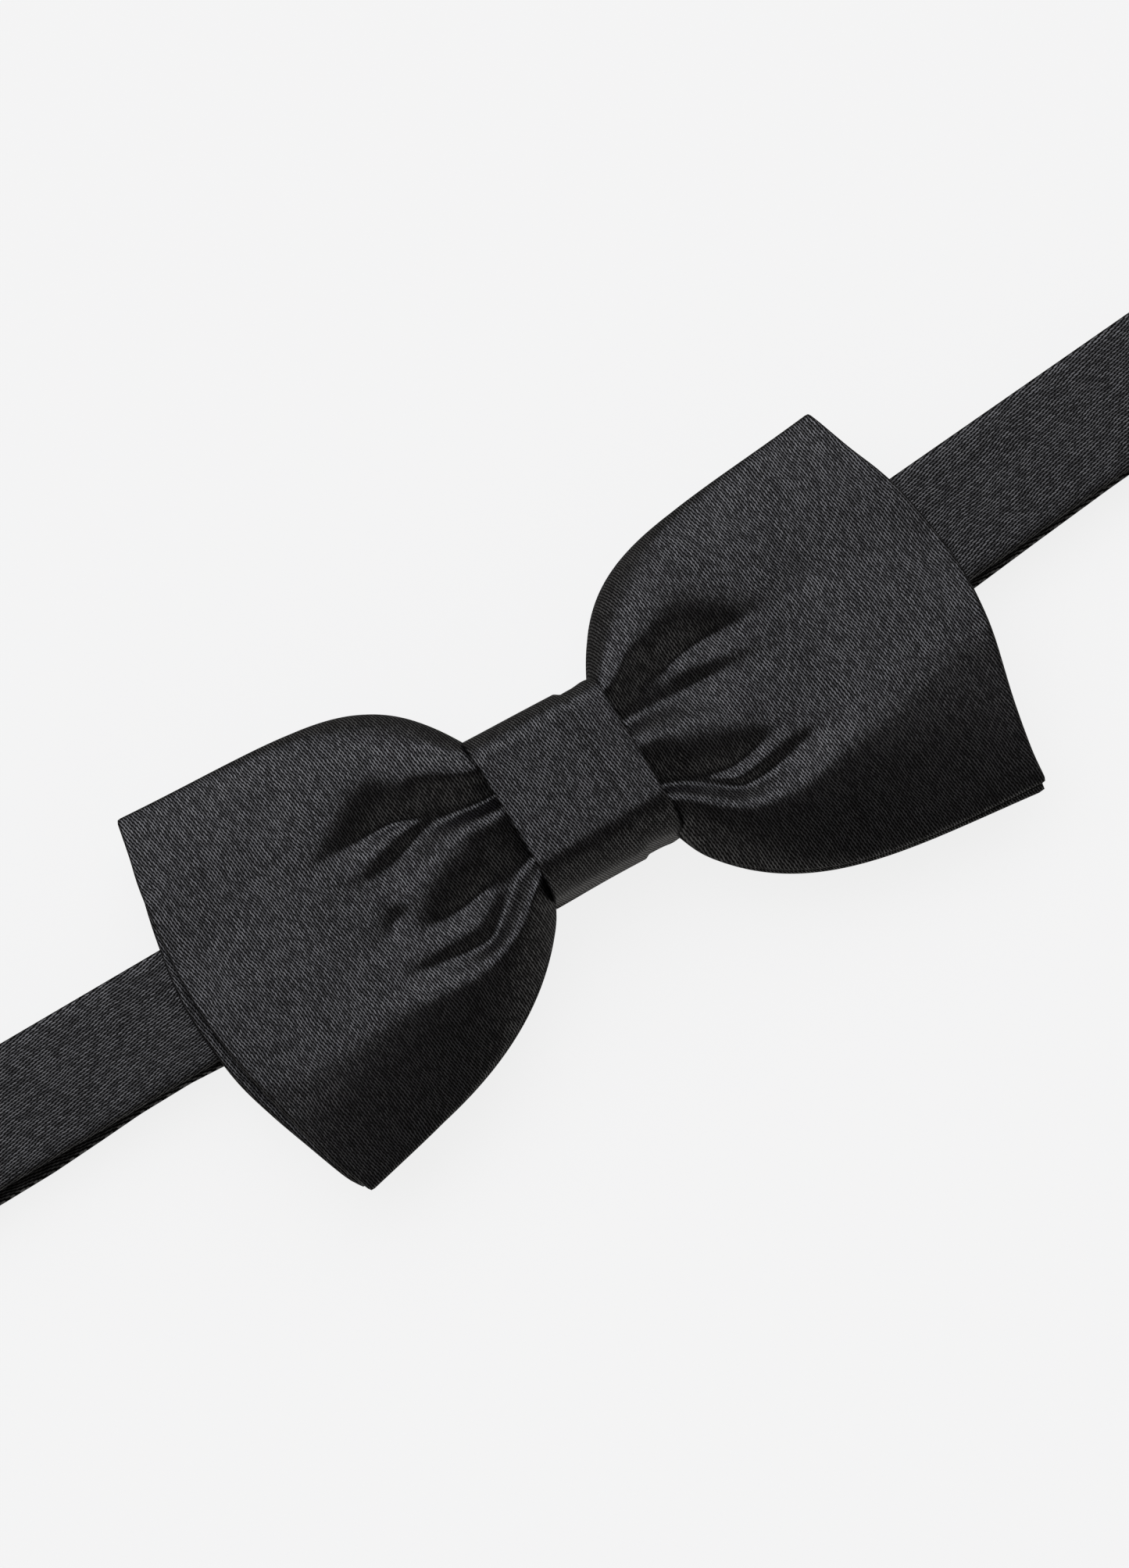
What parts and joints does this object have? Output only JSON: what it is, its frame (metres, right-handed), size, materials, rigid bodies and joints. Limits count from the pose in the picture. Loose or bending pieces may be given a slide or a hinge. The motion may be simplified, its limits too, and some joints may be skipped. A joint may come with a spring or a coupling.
{
  "type": "bow tie",
  "caption": "Ready-tied satin bow tie, gathered wings in a wrapped knot that slides on an adjustable neckband with a hook clasp.",
  "frame": {"origin": "on the surface the tie lies on, under the middle of the bow", "axes": "+X along the bow towards the wing on the viewer's right, +Y up the height of the wings, +Z out of the front face"},
  "size_m": [0.2071, 0.059, 0.0175],
  "materials": {
    "satin": "black polyester satin, soft sheen, fine steep twill of floats",
    "lining": "matt black plain-weave lining",
    "interlining": "matt grey felted interlining",
    "thread": "black sewing thread",
    "clasp_metal": "nickel-plated steel"
  },
  "bodies": {
    "band": {"front_strap_cover": "satin", "front_strap_interlining": "interlining", "left_fold": "satin", "right_fold": "satin"},
    "bow": {"knot_wrap": "satin", "knot_interlining": "interlining", "knot_closing_stitches": "thread", "front_waist": "satin", "back_waist": "satin", "gathering_thread": "thread"},
    "left_wing": {"left_front_face": "satin", "left_front_interlining": "interlining", "left_front_lining": "lining", "left_back_face": "satin", "left_back_interlining": "interlining", "left_back_lining": "satin"},
    "right_wing": {"right_front_face": "satin", "right_front_interlining": "interlining", "right_front_lining": "lining", "right_back_face": "satin", "right_back_interlining": "interlining", "right_back_lining": "satin"},
    "left_band": {"left_strap_cover": "satin", "left_strap_interlining": "interlining", "left_end_loop": "satin", "left_bar_tack": "thread"},
    "ring": {"eye_ring": "clasp_metal"},
    "right_band": {"right_strap_cover": "satin", "right_strap_interlining": "interlining"},
    "hook_end": {"right_strap_slack": "satin", "hook_loop": "satin", "adjuster_return": "satin"},
    "hook": {"hook": "clasp_metal"},
    "adjuster": {"adjuster": "clasp_metal", "adjuster_end_loop": "satin"}
  },
  "joints": [
    {"name": "bow_slide", "type": "slide", "parent": "band", "child": "bow", "axis": [1, 0, 0], "range_m": [-0.015, 0.015]},
    {"name": "left_wing_flex", "type": "hinge", "parent": "bow", "child": "left_wing", "pos_m": [-0.01, 0.0023, 0.0163], "axis": [0, 1, 0], "range_deg": [0, 20], "stiffness_Nm_per_rad": 0.002},
    {"name": "right_wing_flex", "type": "hinge", "parent": "bow", "child": "right_wing", "pos_m": [0.01, 0.0023, 0.0163], "axis": [0, -1, 0], "range_deg": [0, 20], "stiffness_Nm_per_rad": 0.002},
    {"name": "left_band_fold", "type": "hinge", "parent": "band", "child": "left_band", "pos_m": [-0.1, 0.004, 0.00337], "axis": [0, 1, 0], "range_deg": [0, 179], "deforming": ["left_fold"]},
    {"name": "ring_swing", "type": "hinge", "parent": "left_band", "child": "ring", "pos_m": [-0.048, 0.004, 0.0019], "axis": [0, -1, 0], "range_deg": [-15, 15]},
    {"name": "right_band_fold", "type": "hinge", "parent": "band", "child": "right_band", "pos_m": [0.09978, 0.01028, 0.00337], "axis": [0.0698, -0.9976, 0], "range_deg": [0, 179], "deforming": ["right_fold"]},
    {"name": "hook_slide", "type": "slide", "parent": "right_band", "child": "hook_end", "axis": [0.9976, 0.0698, 0], "range_m": [0, 0.042], "deforming": ["right_strap_slack"]},
    {"name": "adjuster_slide", "type": "slide", "parent": "hook_end", "child": "adjuster", "axis": [0.9976, 0.0698, 0], "range_m": [0, 0.042], "deforming": ["adjuster_return"]},
    {"name": "hook_swing", "type": "hinge", "parent": "hook_end", "child": "hook", "pos_m": [-0.0299, 0.00121, 0.0019], "axis": [0.0698, -0.9976, 0], "range_deg": [0, 20]}
  ],
  "couplings": [
    {"joint": "adjuster_slide", "follows": "hook_slide", "ratio": 1}
  ]
}
